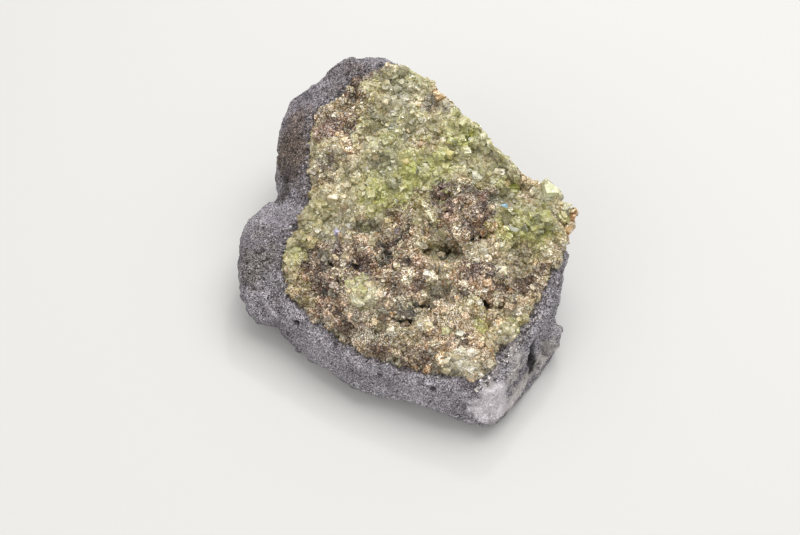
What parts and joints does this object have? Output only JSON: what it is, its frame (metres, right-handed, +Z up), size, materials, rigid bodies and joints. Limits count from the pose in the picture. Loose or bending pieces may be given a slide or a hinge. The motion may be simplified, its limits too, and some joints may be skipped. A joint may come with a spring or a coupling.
{
  "type": "peridot crystal specimen",
  "caption": "Loose mineral specimen: a granular mass of olive-green peridot crystals set in a broken, pitted block of dark basalt that rests on a flat underside.",
  "frame": {"origin": "middle of the specimen's box in X and Y, on the surface that it rests on", "axes": "+Z up from the resting surface; -Y towards the low front wall of basalt, with the crystal face rising towards +Y; +X to the right seen from the front"},
  "size_m": [0.0701, 0.0766, 0.0369],
  "materials": {
    "basalt": "matt, fine-grained broken surface",
    "peridot": "glassy grains, broken across"
  },
  "bodies": {
    "root": {"basalt_matrix": "basalt", "peridot_crystals": "peridot"}
  },
  "joints": []
}
